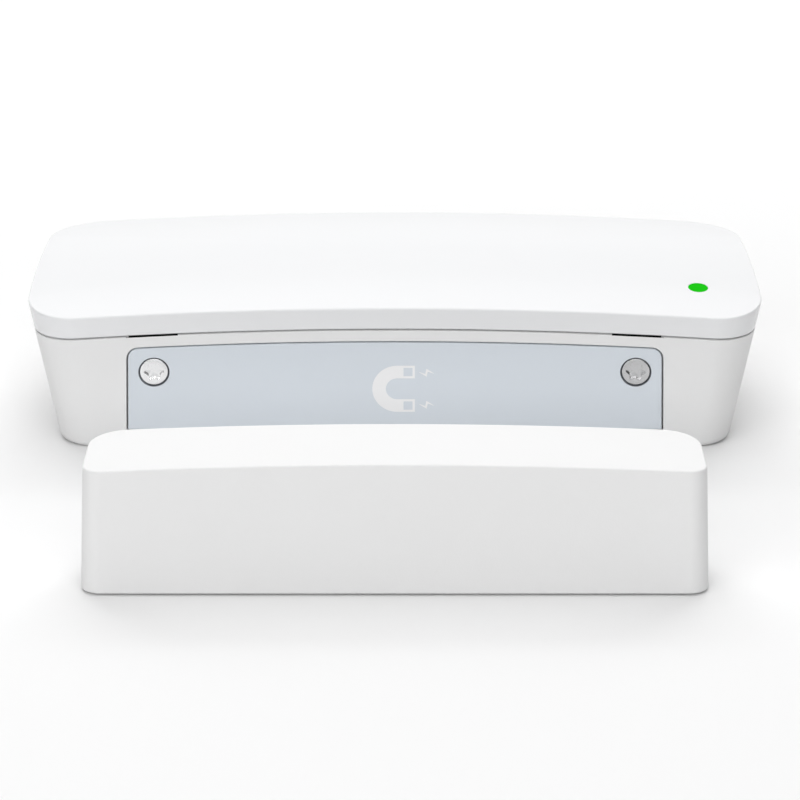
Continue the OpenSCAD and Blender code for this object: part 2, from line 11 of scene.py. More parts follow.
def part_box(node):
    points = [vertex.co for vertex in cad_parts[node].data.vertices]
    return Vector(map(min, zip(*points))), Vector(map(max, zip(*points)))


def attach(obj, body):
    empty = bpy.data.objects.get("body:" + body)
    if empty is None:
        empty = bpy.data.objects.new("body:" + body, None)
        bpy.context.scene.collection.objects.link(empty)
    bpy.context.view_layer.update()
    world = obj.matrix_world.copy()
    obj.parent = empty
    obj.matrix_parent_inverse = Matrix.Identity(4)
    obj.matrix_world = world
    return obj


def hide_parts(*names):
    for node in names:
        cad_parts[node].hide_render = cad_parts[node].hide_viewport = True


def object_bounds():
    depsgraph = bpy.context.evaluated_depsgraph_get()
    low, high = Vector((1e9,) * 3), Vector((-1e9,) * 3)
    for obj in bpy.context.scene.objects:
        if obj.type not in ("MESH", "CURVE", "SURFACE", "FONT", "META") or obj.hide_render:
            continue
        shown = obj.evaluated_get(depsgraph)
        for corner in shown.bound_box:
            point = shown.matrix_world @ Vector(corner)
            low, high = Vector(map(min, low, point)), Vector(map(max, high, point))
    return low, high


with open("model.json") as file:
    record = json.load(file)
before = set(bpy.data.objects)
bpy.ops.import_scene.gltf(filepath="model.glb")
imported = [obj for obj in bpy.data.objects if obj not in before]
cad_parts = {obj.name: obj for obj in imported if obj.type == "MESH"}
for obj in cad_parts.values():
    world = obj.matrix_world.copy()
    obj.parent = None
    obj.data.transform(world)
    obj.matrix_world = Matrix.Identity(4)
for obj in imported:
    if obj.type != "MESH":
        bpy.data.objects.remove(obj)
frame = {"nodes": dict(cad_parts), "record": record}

MM = 0.001
WELD = 1e-7               # metres: points nearer than this are one
CAD_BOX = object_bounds()

# ----------------------------------------
# Shape of the two units, in millimetres, as in the design
# ----------------------------------------
REF_H = 22.0              # height at which the upper outlines are measured
ARCH_R = 720.0            # arch along the sensor unit
CROWN_R = 121.0           # crown from front to back
CROWN_Y = 2.5             # where the crown is highest
FOOT_HALF = 50.2          # half the length of the mounting face
TAPER = 3.0               # how much further in each end stands at the back
FRONT_CORNER = (5, 7)     # plan radius of the front corners, at the foot and at REF_H
BACK_CORNER = (7, 9)
WALL = 2.0                # walls, floor and top of the sensor unit
BACKING = 1.6             # wall behind the front plate
FOOT_R = 1.0              # rounding of the housing's lower edge
INNER_R = 0.5             # rounding between the walls and the floor inside
EDGE_R = 0.3              # rounding of the top edges
RIM_R = 0.12              # rounding of the seam's edges
RIM_H = 3.55              # from the seam up to the top's front edge
SEAM_GAP = 0.28           # gap between the housing and the cover
LEDGE = 0.8               # depth of the shadow groove at the seam
PLAY = 0.15               # clearance of the cover's lip and of the pads
LIP_T = 1.2               # thickness of the cover's lip
LIP_D = 2.6               # how far the lip reaches below the seam
SLOT_X = 36.3             # middle and width of the pry slots under the cover
SLOT_W = 7.4
SLOT_H = 0.05             # how far a slot's mouth opens below the seam, and its floor below that
SLOT_DEEP = 1.2
PLATE_GAP = 0.25          # gap round the front plate
PLATE_CORNER = 1.6        # radius of the plate's upper corners
SINK_R = 2.35             # recesses for the heads of the plate's screws
SINK_D = 1.3
HEAD_R = 2.15
HEAD_H = 1.2
LOBE_R = 1.45             # reach of the six-lobe recess
PLATE_BORE = 1.32         # bores for the shanks of the plate's screws
BOARD_BORE = 1.02         # bores for the board's screws
BOSS_R = 3.1              # bosses behind the plate's screws
BOSS_D = 7.5
MOUNT_BOSS_R = 4.5        # raised rings round the mounting holes
MOUNT_BOSS_TOP = 3.4
COUNTERSINK = 1.6         # how much wider a mounting hole is at its top
STUD_R = 2.2              # studs under the circuit board
LIGHT_R = 1.5             # the light pipe, with the boss round it and the collar that holds it
LIGHT_BOSS_R = 2.7
COLLAR_R = 2.3
COLLAR_Z = (16, 17)
PUSHER_R = 2.0            # post under the cover that holds the tamper plunger down
MAGNET_ARCH_R = 887.0     # arch along the magnet unit
MAGNET_WALL = 1.6
MAGNET_DRAFT = 0.012      # how much the magnet unit's ends lean inwards per millimetre
MAGNET_TAPER = 0.7        # how much further in its back corners stand
MAGNET_CORNER = (2.8, 6)  # plan radius of its front and back corners
MAGNET_FOOT_R = 0.3       # rounding of its lower edge
RIB_T = 1.2               # ribs beside the bar magnet
BEYOND = 1.0              # how far a cutter reaches past what it cuts


def box_mm(node):
    """A CAD node's lowest and highest corner in millimetres."""
    low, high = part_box(node)
    return low / MM, high / MM


base_low = box_mm("base_housing")[0]
cover_high = box_mm("top_cover")[1]
plate_low, plate_high = box_mm("front_plate")
pipe_low, pipe_high = box_mm("light_pipe")
cap_low, cap_high = box_mm("magnet_housing")

FRONT_Y = base_low.y
CROWN_Z = cover_high.z
FRONT_WALL = plate_high.y - plate_low.y + BACKING
SEAM_Z = CROWN_Z - (CROWN_Y - FRONT_Y) ** 2 / (2 * CROWN_R) - RIM_H
LIGHT_X = (pipe_low.x + pipe_high.x) / 2
LIGHT_Y = (pipe_low.y + pipe_high.y) / 2


def crown_z(x, y, drop=0.0):
    """Height of the sensor unit's crowned top."""
    ring = math.sqrt(CROWN_R ** 2 - (y - CROWN_Y) ** 2) + ARCH_R - CROWN_R
    return CROWN_Z - ARCH_R - drop + math.sqrt(ring ** 2 - x * x)


def arch_z(x, top, radius=ARCH_R):
    """Height of a plain arch along X."""
    return top - radius + math.sqrt(radius ** 2 - x * x)


# The outline at REF_H, worked out from where the cover is widest and deepest
SIDE_Z = crown_z(cover_high.x, FRONT_Y + FRONT_CORNER[1])
TOP_HALF = FOOT_HALF + (cover_high.x - FOOT_HALF) * REF_H / SIDE_Z
TOP_BACK = -FRONT_Y + (cover_high.y + FRONT_Y) * REF_H / crown_z(0, cover_high.y)


# ----------------------------------------
# Mesh helpers
# ----------------------------------------
N_FRONT, N_CORNER, N_SIDE, N_BACK = 26, 12, 8, 22  # steps along each stretch of an outline
CAP_SHARES = (0.985, 0.95, 0.88, 0.76, 0.6, 0.42, 0.24, 0.1)  # rings that close a body's end, shrunk by these


def quarter(steps):
    """Angles from 0 to 90 degrees."""
    return [math.pi / 2 * i / steps for i in range(steps + 1)]


def outline(half_front, half_back, y_front, y_back, r_front, r_back):
    """A rounded outline that tapers to the back, as points from the middle of the front edge round."""
    front = Vector((half_front - r_front, y_front + r_front))
    back = Vector((half_back - r_back, y_back - r_back))
    run = back - front
    lean = math.atan2(run.y, run.x) - math.acos((r_front - r_back) / run.length)
    half = [Vector((front.x * i / N_FRONT, y_front)) for i in range(N_FRONT)]
    for i in range(N_CORNER + 1):
        a = -math.pi / 2 + (lean + math.pi / 2) * i / N_CORNER
        half.append(front + r_front * Vector((math.cos(a), math.sin(a))))
    start = half[-1]
    end = back + r_back * Vector((math.cos(lean), math.sin(lean)))
    half += [start.lerp(end, i / N_SIDE) for i in range(1, N_SIDE)]
    for i in range(N_CORNER + 1):
        a = lean + (math.pi / 2 - lean) * i / N_CORNER
        half.append(back + r_back * Vector((math.cos(a), math.sin(a))))
    half += [Vector((back.x * (1 - i / N_BACK), y_back)) for i in range(1, N_BACK + 1)]
    return half + [Vector((-p.x, p.y)) for p in reversed(half[1:-1])]


def sensor_outlines(inset=0.0, front_in=0.0):
    """The sensor unit's outlines at its foot and at REF_H, moved in by inset, at the front by front_in."""
    made = []
    halves, backs = (FOOT_HALF, TOP_HALF), (-FRONT_Y, TOP_BACK)
    for half, back_y, r_front, r_back in zip(halves, backs, FRONT_CORNER, BACK_CORNER):
        made.append(outline(half - inset, half - TAPER - inset, FRONT_Y + front_in, back_y - inset,
                            max(r_front - inset, 1), max(r_back - inset, 1)))
    return made


def magnet_outlines(inset=0.0):
    """The magnet unit's outlines at its foot and at REF_H, moved in by inset."""
    made = []
    half_foot = (cap_high.x - cap_low.x) / 2
    r_front, r_back = MAGNET_CORNER
    for half in (half_foot, half_foot - MAGNET_DRAFT * REF_H):
        made.append(outline(half - inset, half - MAGNET_TAPER - inset, cap_low.y + inset, cap_high.y - inset,
                            max(r_front - inset, 1), r_back - inset))
    return made


def ring_at(outlines, z_of):
    """One ring of a drafted body, whose height at each point is z_of(x, y)."""
    ring = []
    for foot, top in zip(*outlines):
        p = foot
        for _ in range(3):
            z = z_of(p.x, p.y)
            p = foot.lerp(top, z / REF_H)
        ring.append(Vector((p.x, p.y, z)))
    return ring


def shrunk(ring, share, z_of):
    """A ring drawn in towards its own middle, laid on the surface z_of(x, y)."""
    low = min(p.y for p in ring)
    high = max(p.y for p in ring)
    mid = (low + high) / 2
    made = []
    for p in ring:
        x, y = p.x * share, mid + (p.y - mid) * share
        made.append(Vector((x, y, z_of(x, y))))
    return made


def loft(rings, start_z, end_z):
    """A closed mesh through rings, capped at both ends on the surfaces start_z(x, y) and end_z(x, y)."""
    chain = [shrunk(rings[0], s, start_z) for s in reversed(CAP_SHARES)] + list(rings)
    chain += [shrunk(rings[-1], s, end_z) for s in CAP_SHARES]
    bm = bmesh.new()
    rows = [[bm.verts.new(p * MM) for p in ring] for ring in chain]
    count = len(rows[0])
    for low, high in zip(rows, rows[1:]):
        for i in range(count):
            j = (i + 1) % count
            bm.faces.new((low[i], low[j], high[j], high[i]))
    for row, z_of in ((rows[0], start_z), (rows[-1], end_z)):
        mid = sum((v.co for v in row), Vector()) / count
        pole = bm.verts.new((mid.x, mid.y, z_of(mid.x / MM, mid.y / MM) * MM))
        for i in range(count):
            bm.faces.new((row[i], row[(i + 1) % count], pole))
    bmesh.ops.recalc_face_normals(bm, faces=bm.faces)
    return bm


def lathe(profile, segments=48, ring=False):
    """A body of revolution about Z through (radius, z) points. Its ends lie on the axis, or it is a ring."""
    bm = bmesh.new()
    rows = []
    for r, z in profile:
        angles = [2 * math.pi * i / segments for i in range(segments)] if r > 0 else [0]
        rows.append([bm.verts.new((r * MM * math.cos(a), r * MM * math.sin(a), z * MM)) for a in angles])
    for low, high in zip(rows, rows[1:] + rows[:1] if ring else rows[1:]):
        for i in range(segments):
            j = (i + 1) % segments
            quad = [low[i % len(low)], low[j % len(low)], high[j % len(high)], high[i % len(high)]]
            face = list(dict.fromkeys(quad))
            if len(face) > 2:
                bm.faces.new(face)
    bmesh.ops.recalc_face_normals(bm, faces=bm.faces)
    return bm


def arc(r, x, z, start, end, steps=6):
    """Points of an arc about (x, z), in degrees."""
    angles = [math.radians(start + (end - start) * i / steps) for i in range(steps + 1)]
    return [(x + r * math.cos(a), z + r * math.sin(a)) for a in angles]


def box_bm(low, high):
    """A box between two corners."""
    bm = bmesh.new()
    bmesh.ops.create_cube(bm, size=1)
    low, high = Vector(low) * MM, Vector(high) * MM
    for v in bm.verts:
        v.co = (low + high) / 2 + Vector(c * s for c, s in zip(v.co, high - low))
    return bm


def tube_bm(start, end, r_start, r_end=None, segments=48):
    """A straight cylinder or cone between two points."""
    start, end = Vector(start) * MM, Vector(end) * MM
    run = end - start
    bm = bmesh.new()
    turn = run.to_track_quat("Z", "Y").to_matrix().to_4x4()
    place = Matrix.Translation((start + end) / 2) @ turn
    bmesh.ops.create_cone(bm, cap_ends=True, segments=segments, radius1=r_start * MM,
                          radius2=(r_start if r_end is None else r_end) * MM, depth=run.length, matrix=place)
    return bm


def moved(bm, place):
    """The mesh moved by a matrix."""
    bmesh.ops.transform(bm, matrix=place, verts=bm.verts)
    return bm


def joined(parts):
    """Several meshes in one."""
    whole = bmesh.new()
    for bm in parts:
        mesh = bpy.data.meshes.new("part")
        bm.to_mesh(mesh)
        bm.free()
        whole.from_mesh(mesh)
        bpy.data.meshes.remove(mesh)
    return whole


def new_object(name, bm):
    """A mesh object in the scene."""
    mesh = bpy.data.meshes.new(name)
    bm.to_mesh(mesh)
    bm.free()
    obj = bpy.data.objects.new(name, mesh)
    bpy.context.scene.collection.objects.link(obj)
    return obj


def applied(obj):
    """Bakes the object's modifiers into its mesh."""
    view = bpy.context.evaluated_depsgraph_get()
    mesh = bpy.data.meshes.new_from_object(obj.evaluated_get(view))
    obj.modifiers.clear()
    obj.data = mesh
    return obj


def boolean(obj, parts, operation):
    """Joins or cuts a list of meshes, all at once."""
    tool = new_object("tool", joined(parts))
    mod = obj.modifiers.new("boolean", "BOOLEAN")
    mod.operation, mod.object, mod.solver, mod.use_self = operation, tool, "EXACT", True
    applied(obj)
    bpy.data.objects.remove(tool)
    return obj


def bevelled(obj, width, segments=2, angle=35):
    """Rounds the object's sharp edges."""
    mod = obj.modifiers.new("bevel", "BEVEL")
    mod.width, mod.segments, mod.limit_method = width * MM, segments, "ANGLE"
    mod.angle_limit, mod.use_clamp_overlap = math.radians(angle), True
    return applied(obj)


def smooth(obj, angle=32):
    """Smooth shading that keeps the edges sharper than the angle and the large faces flat."""
    obj.data.shade_smooth()
    obj.data.set_sharp_from_angle(angle=math.radians(angle))
    mod = obj.modifiers.new("normals", "WEIGHTED_NORMAL")
    mod.mode, mod.weight, mod.keep_sharp = "FACE_AREA_WITH_ANGLE", 60, True
    return applied(obj)


def finish_piece(obj, body, slot, mat, *nodes):
    """Gives a piece its body and material, and hides the CAD nodes it stands for; the slot is not used."""
    obj.data.materials.clear()
    obj.data.materials.append(mat)
    smooth(obj)
    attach(obj, body)
    if nodes:
        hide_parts(*nodes)
    return obj


def islands(node):
    """Boxes round the separate solids of a CAD node, in millimetres."""
    bm = bmesh.new()
    bm.from_mesh(frame["nodes"][node].data)
    bmesh.ops.remove_doubles(bm, verts=bm.verts, dist=WELD)
    left, boxes = set(bm.verts), []
    while left:
        group = [left.pop()]
        for v in group:
            for other in (edge.other_vert(v) for edge in v.link_edges):
                if other in left:
                    left.discard(other)
                    group.append(other)
        low, high = (Vector(pick(v.co[i] for v in group) for i in range(3)) / MM for pick in (min, max))
        boxes.append((low, high))
    bm.free()
    return sorted(boxes, key=lambda box: tuple(box[0]))


def paint(obj, mat, where):
    """Gives a second material to the faces for whose middle, in millimetres, where(x, y, z) holds."""
    obj.data.materials.append(mat)
    for face in obj.data.polygons:
        if where(*(face.center / MM)):
            face.material_index = len(obj.data.materials) - 1


# ----------------------------------------
# Materials
# ----------------------------------------
NOISE_RANGE = (0.3, 0.7)  # where nearly all values of a noise lie
COAT_ROUGHNESS = 0.15


def material(name, color, roughness=0.5, metallic=0.0, grain=0.2, bump=0.0, vary=0.03, rough_vary=0.06,
             blotch=6.0, specular=0.5, coat=0.0, emission=None, glow=0.0, alpha=1.0):
    """A procedural finish: grain and blotch are sizes and bump is a depth, all in millimetres.

    The colour varies by vary in blotches, and the roughness by rough_vary in the grain.
    """
    mat = bpy.data.materials.new(name)
    mat.use_nodes = True
    tree = mat.node_tree
    shader = tree.nodes["Principled BSDF"]
    links = tree.links
    coords = tree.nodes.new("ShaderNodeTexCoord")

    def noise(size, detail):
        node = tree.nodes.new("ShaderNodeTexNoise")
        node.inputs["Scale"].default_value = 1 / (size * MM)
        node.inputs["Detail"].default_value = detail
        links.new(coords.outputs["Object"], node.inputs["Vector"])
        return node

    broad, fine = noise(blotch, 3), noise(grain, 2)
    blend = tree.nodes.new("ShaderNodeMix")
    blend.data_type = "RGBA"
    blend.inputs["A"].default_value = (*[c * (1 - vary) for c in color], 1)
    blend.inputs["B"].default_value = (*[min(1, c * (1 + vary)) for c in color], 1)
    links.new(broad.outputs["Fac"], blend.inputs["Factor"])
    links.new(blend.outputs["Result"], shader.inputs["Base Color"])
    spread = tree.nodes.new("ShaderNodeMapRange")
    spread.inputs["From Min"].default_value, spread.inputs["From Max"].default_value = NOISE_RANGE
    spread.inputs["To Min"].default_value = max(0.02, roughness - rough_vary)
    spread.inputs["To Max"].default_value = min(1, roughness + rough_vary)
    links.new(fine.outputs["Fac"], spread.inputs["Value"])
    links.new(spread.outputs["Result"], shader.inputs["Roughness"])
    if bump:
        height = tree.nodes.new("ShaderNodeBump")
        height.inputs["Strength"].default_value = 1
        height.inputs["Distance"].default_value = bump * MM
        links.new(fine.outputs["Fac"], height.inputs["Height"])
        links.new(height.outputs["Normal"], shader.inputs["Normal"])
    shader.inputs["Metallic"].default_value = metallic
    shader.inputs["Specular IOR Level"].default_value = specular
    shader.inputs["Coat Weight"].default_value = coat
    shader.inputs["Coat Roughness"].default_value = COAT_ROUGHNESS
    shader.inputs["Alpha"].default_value = alpha
    if emission:
        shader.inputs["Emission Color"].default_value = (*emission, 1)
        shader.inputs["Emission Strength"].default_value = glow
    return mat


WHITE_MATT = material("white_matt", (0.80, 0.80, 0.80), 0.55, grain=0.22, bump=0.012, vary=0.008, blotch=9)
WHITE_SATIN = material("white_satin", (0.805, 0.81, 0.82), 0.19, grain=0.3, bump=0.0002, vary=0.002,
                       rough_vary=0.02, blotch=14)
# Painted shade: near-black paint for the inner faces of the pry slots, standing in for the shadow inside them
SLOT_PAINTED_SHADE = material("slot_painted_shade", (0.02, 0.02, 0.02), 0.9, grain=0.2, bump=0.01, vary=0.1, specular=0.1)
MAGNET_WHITE = material("magnet_white", (0.845, 0.845, 0.845), 0.55, grain=0.22, bump=0.012, vary=0.008,
                        blotch=9, specular=0.3)
PLATE_BLUE = material("plate_blue", (0.668, 0.714, 0.764), 0.4, grain=0.25, bump=0.004, vary=0.008, blotch=12)
# Painted shade: dark paint for the walls of the recesses round the plate's screw heads
SINK_SHADE = material("sink_shade", (0.25, 0.265, 0.29), 0.7, grain=0.2, bump=0.004, vary=0.05, blotch=1,
                      specular=0.1)
SIGN_GREY = material("sign_grey", (0.87, 0.87, 0.875), 0.5, grain=0.15, bump=0.002, vary=0.01, blotch=2)
NICKEL = material("nickel", (0.88, 0.88, 0.885), 0.2, metallic=1, grain=0.08, bump=0.001, vary=0.02,
                  blotch=1.2)
# Painted darker reflection: a darker copy of the nickel for the right screw's head
NICKEL_PAINTED_DARK_REFLECTION = material("nickel_painted_dark_reflection", (0.59, 0.59, 0.595), 0.22, metallic=1, grain=0.08, bump=0.001,
                       vary=0.02, blotch=1.2)
# Painted shade: darker metal for the walls of the six-lobe recesses
RECESS_PAINTED_SHADE = material("recess_painted_shade", (0.4, 0.4, 0.405), 0.3, metallic=1, grain=0.08, bump=0.001,
                       vary=0.05, blotch=1)
ZINC = material("zinc", (0.6, 0.6, 0.6), 0.38, metallic=1, grain=0.1, bump=0.004, vary=0.06, blotch=1)
LENS_GREEN = material("lens_green", (0.0125, 0.48, 0.009), 0.5, grain=0.4, vary=0.02, blotch=2, specular=0,
                      emission=(0.01, 0.5, 0.007), glow=0.12)
MASK_GREEN = material("mask_green", (0.015, 0.13, 0.05), 0.35, grain=0.5, bump=0.006, vary=0.15,
                      blotch=3, coat=0.3)
TRACK_GREEN = material("track_green", (0.03, 0.22, 0.08), 0.32, grain=0.5, bump=0.004, vary=0.1,
                       blotch=3, coat=0.3)
GLASS_TINT = material("glass_tint", (0.62, 0.82, 0.68), 0.05, grain=0.5, rough_vary=0.02, vary=0.02,
                      alpha=0.35, coat=0.6)
REED_METAL = material("reed_metal", (0.62, 0.6, 0.55), 0.35, metallic=1, grain=0.1, bump=0.003,
                      vary=0.05, blotch=1)
EPOXY = material("epoxy", (0.018, 0.018, 0.02), 0.6, grain=0.12, bump=0.01, vary=0.1, blotch=1.5)
CERAMIC_TAN = material("ceramic_tan", (0.42, 0.27, 0.15), 0.5, grain=0.1, bump=0.004, vary=0.08, blotch=0.8)
TIN = material("tin", (0.7, 0.7, 0.68), 0.28, metallic=1, grain=0.15, bump=0.003, vary=0.05, blotch=2)
GOLD = material("gold", (0.83, 0.6, 0.25), 0.25, metallic=1, grain=0.1, bump=0.002, vary=0.05, blotch=1)
LED_EPOXY = material("led_epoxy", (0.8, 0.76, 0.5), 0.2, grain=0.2, vary=0.05, blotch=0.6, coat=0.5)
BLACK_PLASTIC = material("black_plastic", (0.03, 0.03, 0.033), 0.45, grain=0.15, bump=0.006, vary=0.08,
                         blotch=2)
BUTTON_WHITE = material("button_white", (0.78, 0.78, 0.76), 0.4, grain=0.15, bump=0.003, vary=0.02, blotch=2)
PLUNGER_RED = material("plunger_red", (0.5, 0.035, 0.03), 0.4, grain=0.15, bump=0.003, vary=0.05, blotch=2)
CELL_NICKEL = material("cell_nickel", (0.72, 0.72, 0.71), 0.22, metallic=1, grain=0.2, bump=0.002, vary=0.04,
                       blotch=5)
WRAP_BLUE = material("wrap_blue", (0.02, 0.12, 0.36), 0.3, grain=0.6, bump=0.006, vary=0.06, blotch=6,
                     coat=0.4)
SPRING_STEEL = material("spring_steel", (0.66, 0.65, 0.61), 0.3, metallic=1, grain=0.12, bump=0.003,
                        vary=0.05, blotch=1.5)
FOAM_TAPE = material("foam_tape", (0.45, 0.45, 0.44), 0.85, grain=0.25, bump=0.03, vary=0.06, blotch=3)
FERRITE = material("ferrite", (0.09, 0.09, 0.095), 0.6, grain=0.2, bump=0.02, vary=0.12, blotch=3)
FOAM_DARK = material("foam_dark", (0.045, 0.045, 0.05), 0.9, grain=0.35, bump=0.06, vary=0.15, blotch=2)
FLOOR_PALE = material("floor_pale", (0.9, 0.9, 0.9), 0.9, grain=1.5, vary=0.003, blotch=80, specular=0.1)


# ----------------------------------------
# Sensor unit: housing, cover, plate and what shows on them
# ----------------------------------------
def node_middle(node):
    """Middle of a CAD node's box in millimetres."""
    low, high = box_mm(node)
    return (low + high) / 2


SCREW_X = box_mm("plate_screws")[1].x - HEAD_R
SCREW_Z = node_middle("plate_screws").z
PAD_GAP = 18.0            # between the two adhesive pads
MOUNTS = {m["name"]: m for m in frame["record"]["mounts"]}
MOUNT_X = MOUNTS["sensor_mount_holes"]["dims"]["spacing_x_mm"] / 2
MOUNT_Y = MOUNTS["sensor_mount_holes"]["pos_m"][1] / MM
MOUNT_R = MOUNTS["sensor_mount_holes"]["dims"]["hole_r_mm"]
BOARD_LOW, BOARD_HIGH = box_mm("circuit_board")
BOARD_TOP = BOARD_HIGH.z
BOARD_SCREWS = ((BOARD_LOW.x + 4, -4), (BOARD_HIGH.x - 7, -4), (18, 10))  # where they stand
CELL_LOW, CELL_HIGH = box_mm("battery_cell")
CELL_MID = (CELL_LOW + CELL_HIGH) / 2
WRAP_R = (box_mm("battery_wrap")[1].z - box_mm("battery_wrap")[0].z) / 2


def edge_rings(outline_of, radius, z_of, rising, steps=5):
    """Rings round an edge: outline_of(inset) gives the outlines. Rising goes from the wall to the flat."""
    rings = []
    for a in quarter(steps):
        inset, drop = radius * (1 - math.cos(a)), radius * (1 - math.sin(a))
        rings.append(ring_at(outline_of(inset), lambda x, y, d=drop: z_of(x, y) - d))
    return rings if rising else rings[::-1]


def make_housing():
    """The lower housing, with its walls, floor, bosses and pockets."""
    def seam(x, y):
        return arch_z(x, SEAM_Z)

    def ledge_top(x, y):
        return arch_z(x, SEAM_Z + SEAM_GAP - 0.02)

    rings = []
    for a in quarter(4):
        inset = FOOT_R * (1 - math.sin(a))
        rings.append(ring_at(sensor_outlines(inset, inset), lambda x, y, z=FOOT_R * (1 - math.cos(a)): z))
    for share in (0.25, 0.5, 0.75):
        rings.append(ring_at(sensor_outlines(),
                             lambda x, y, s=share: FOOT_R + (seam(x, y) - RIM_R - FOOT_R) * s))
    rings += edge_rings(lambda d: sensor_outlines(d, d), RIM_R, seam, True, 3)
    rings.append(ring_at(sensor_outlines(LEDGE, LEDGE), seam))
    rings.append(ring_at(sensor_outlines(LEDGE, LEDGE), ledge_top))
    rings.append(ring_at(sensor_outlines(WALL, FRONT_WALL), ledge_top))
    rings.append(ring_at(sensor_outlines(WALL, FRONT_WALL), lambda x, y: WALL + INNER_R))
    for a in quarter(3)[1:]:
        inset = INNER_R * (1 - math.cos(a))
        rings.append(ring_at(sensor_outlines(WALL + inset, FRONT_WALL + inset),
                             lambda x, y, z=WALL + INNER_R * (1 - math.sin(a)): z))
    housing = new_object("housing_shell", loft(rings, lambda x, y: 0, lambda x, y: WALL))
    boolean(housing, housing_bosses(), "UNION")
    boolean(housing, housing_cuts(), "DIFFERENCE")
    bevelled(housing, 0.08, 2, 50)
    finish_piece(housing, "sensor", "housing_white", WHITE_MATT, "base_housing")
    # Painted shade: the faces inside the pry slots get the near-black paint
    paint(housing, SLOT_PAINTED_SHADE, in_slot)
    return housing


def housing_bosses():
    """What stands up inside the housing: bosses, studs, and the battery's cradle and end posts."""
    root = WALL / 2
    back = FRONT_Y + FRONT_WALL
    cradle_t, cradle_half, cradle_drop = 1.6, 7, 2.6
    post_t, post_half, post_drop = 1.4, 5, 2
    parts = []
    for side in (-1, 1):
        parts.append(tube_bm((side * SCREW_X, back - 0.5, SCREW_Z), (side * SCREW_X, back + BOSS_D, SCREW_Z),
                             BOSS_R))
        parts.append(tube_bm((side * MOUNT_X, MOUNT_Y, root), (side * MOUNT_X, MOUNT_Y, MOUNT_BOSS_TOP),
                             MOUNT_BOSS_R))
    for x, y in BOARD_SCREWS:
        parts.append(tube_bm((x, y, root), (x, y, BOARD_LOW.z), STUD_R, segments=32))
    for x in (CELL_LOW.x + 4, CELL_HIGH.x - 6):
        parts.append(box_bm((x, CELL_MID.y - cradle_half, root),
                            (x + cradle_t, CELL_MID.y + cradle_half, CELL_MID.z - cradle_drop)))
    for x in (box_mm("battery_spring_plate")[0].x - 1.5, box_mm("battery_contact")[1].x + 0.1):
        parts.append(box_bm((x, CELL_MID.y - post_half, root),
                            (x + post_t, CELL_MID.y + post_half, CELL_MID.z - post_drop)))
    return parts


def plate_outline(grow, steps=8, arch_steps=30):
    """The front plate's outline (x, z), grown all round: an arched top edge and rounded upper corners."""
    half = (plate_high.x - plate_low.x) / 2 + grow
    r = PLATE_CORNER + grow
    rise = plate_high.z + grow
    low = plate_low.z - grow
    shoulder = arch_z(half - r, rise) - r
    right = [(half, low)]
    right += [(half - r + r * math.cos(a), shoulder + r * math.sin(a)) for a in quarter(steps)]
    along = [(half - r) * (1 - i / arch_steps) for i in range(1, arch_steps + 1)]
    top = [(x, arch_z(x, rise)) for x in along]
    side = right + top
    return side + [(-x, z) for x, z in reversed(side[:-1])]


def plate_block(grow, y_front, y_back):
    """The plate's outline extruded from front to back."""
    bm = bmesh.new()
    points = plate_outline(grow)
    front = [bm.verts.new((x * MM, y_front * MM, z * MM)) for x, z in points]
    back = [bm.verts.new((x * MM, y_back * MM, z * MM)) for x, z in points]
    count = len(points)
    for i in range(count):
        j = (i + 1) % count
        bm.faces.new((front[i], front[j], back[j], back[i]))
    bm.faces.new(front)
    bm.faces.new(back)
    bmesh.ops.recalc_face_normals(bm, faces=bm.faces)
    return bm


def side_box(side, x_inner, x_outer, y_low, y_high, z_low, z_high):
    """A box on one side of the middle, from x_inner out to x_outer."""
    near, far = sorted((side * x_inner, side * x_outer))
    return box_bm((near, y_low, z_low), (far, y_high, z_high))


def pad_pockets():
    """Boxes round the sensor unit's two adhesive pads, to cut their pockets."""
    low, high = box_mm("sensor_pads")
    return [side_box(side, PAD_GAP / 2 - PLAY, high.x + PLAY, low.y - PLAY, high.y + PLAY, -BEYOND, high.z)
            for side in (-1, 1)]


def housing_cuts():
    """What is cut out of the housing: the plate's recess, the bores, the pry slots and the pads' pockets."""
    plate_y = FRONT_Y + plate_high.y - plate_low.y
    sink_z = 1.8
    parts = [plate_block(PLATE_GAP, FRONT_Y - BEYOND, plate_y)]
    for side in (-1, 1):
        x = side * MOUNT_X
        parts.append(tube_bm((side * SCREW_X, FRONT_Y + BEYOND, SCREW_Z),
                             (side * SCREW_X, plate_y + BOSS_D, SCREW_Z), PLATE_BORE, segments=32))
        parts.append(tube_bm((x, MOUNT_Y, -BEYOND), (x, MOUNT_Y, MOUNT_BOSS_TOP + 0.6), MOUNT_R))
        parts.append(tube_bm((x, MOUNT_Y, sink_z), (x, MOUNT_Y, MOUNT_BOSS_TOP + 0.01), MOUNT_R,
                             MOUNT_R + COUNTERSINK))
        parts.append(slot_block(side))
    for x, y in BOARD_SCREWS:
        parts.append(tube_bm((x, y, 1.2), (x, y, 6), BOARD_BORE, segments=24))
    parts.append(tube_bm((CELL_LOW.x - 1, CELL_MID.y, CELL_MID.z), (CELL_HIGH.x, CELL_MID.y, CELL_MID.z),
                         WRAP_R + 0.02, segments=96))
    return parts + pad_pockets()


